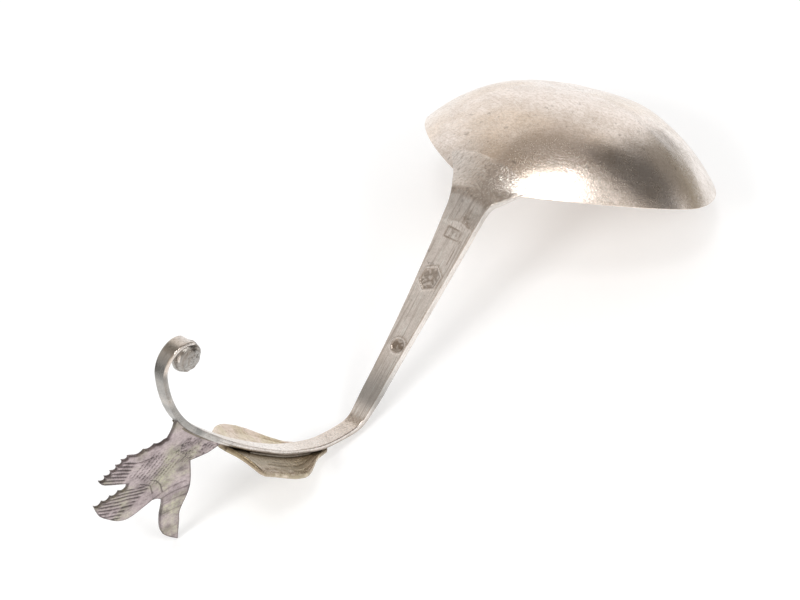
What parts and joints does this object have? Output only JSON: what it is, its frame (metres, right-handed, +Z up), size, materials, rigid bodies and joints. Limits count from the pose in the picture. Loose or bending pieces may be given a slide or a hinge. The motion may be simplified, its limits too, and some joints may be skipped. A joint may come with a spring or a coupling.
{
  "type": "cream spoon",
  "caption": "Silver cream spoon lying face down: shallow fig-shaped bowl on a slanting strip handle with a rolled hook, a leaf plate under its shoulder and an engraved bird figure.",
  "frame": {"origin": "middle of the footprint, on the surface that the spoon lies on", "axes": "+Z up; the handle runs from the hook at low X and low Y towards the bowl at high X and high Y; the hollow of the bowl faces down"},
  "size_m": [0.1124, 0.1244, 0.0502],
  "materials": {
    "bowl_silver": "worn silver, fine scratches",
    "handle_silver": "worn silver, drawn lengthwise",
    "leaf_silver": "ridged silver with brownish tarnish",
    "bird_silver": "engraved silver with grey tarnish",
    "solder": "dull silver solder"
  },
  "bodies": {
    "root": {"bowl": "bowl_silver", "handle": "handle_silver", "leaf_plate": "leaf_silver", "bird_figure": "bird_silver", "bowl_solder": "solder", "leaf_solder_left": "solder", "leaf_solder_right": "solder", "bird_solder_left": "solder", "bird_solder_right": "solder"}
  },
  "joints": []
}
